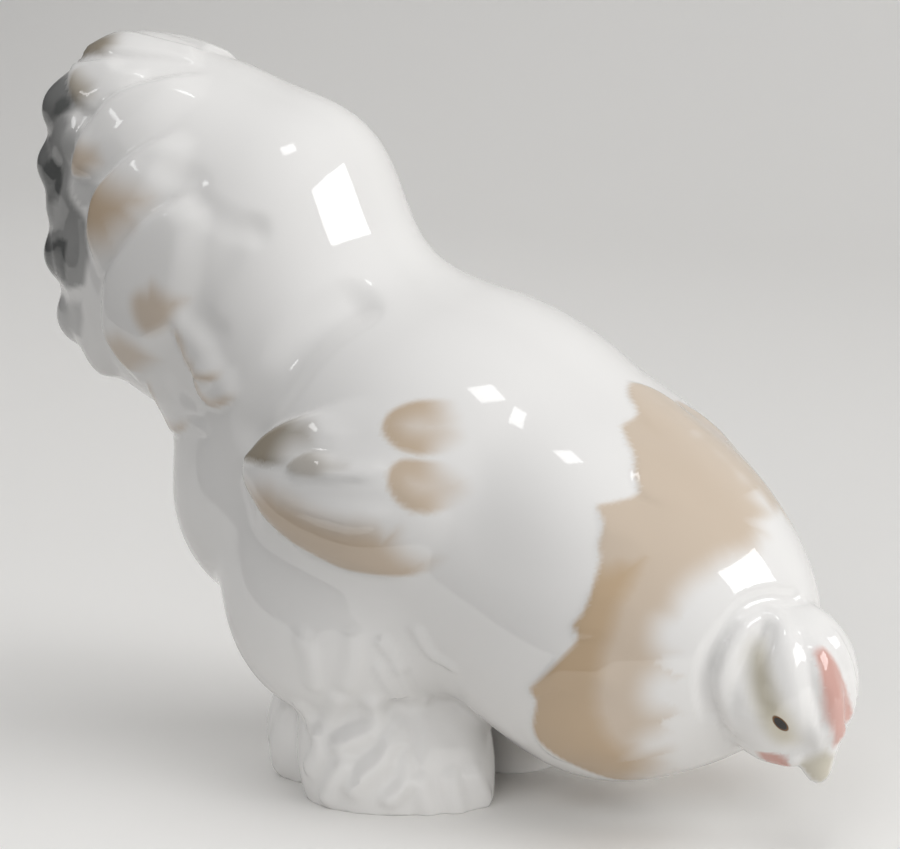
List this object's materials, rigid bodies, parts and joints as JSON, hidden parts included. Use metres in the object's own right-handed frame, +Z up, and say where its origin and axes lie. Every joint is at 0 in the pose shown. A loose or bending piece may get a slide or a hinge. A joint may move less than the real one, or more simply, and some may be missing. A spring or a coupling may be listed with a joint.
{
  "type": "hen figurine",
  "caption": "Glazed porcelain hen bending down to peck, with an upright cushion of tail feathers and flat-soled feathered feet.",
  "frame": {"origin": "on the surface that the feet stand on, under the middle of the bounding box", "axes": "+X towards the beak, +Y towards the hen's left, +Z up"},
  "size_m": [0.1998, 0.1028, 0.1653],
  "materials": {
    "glazed_porcelain": "clear gloss glaze over white porcelain, with tan, grey and pink underglaze tints"
  },
  "bodies": {
    "root": {"hen_figurine": "glazed_porcelain"}
  },
  "joints": []
}
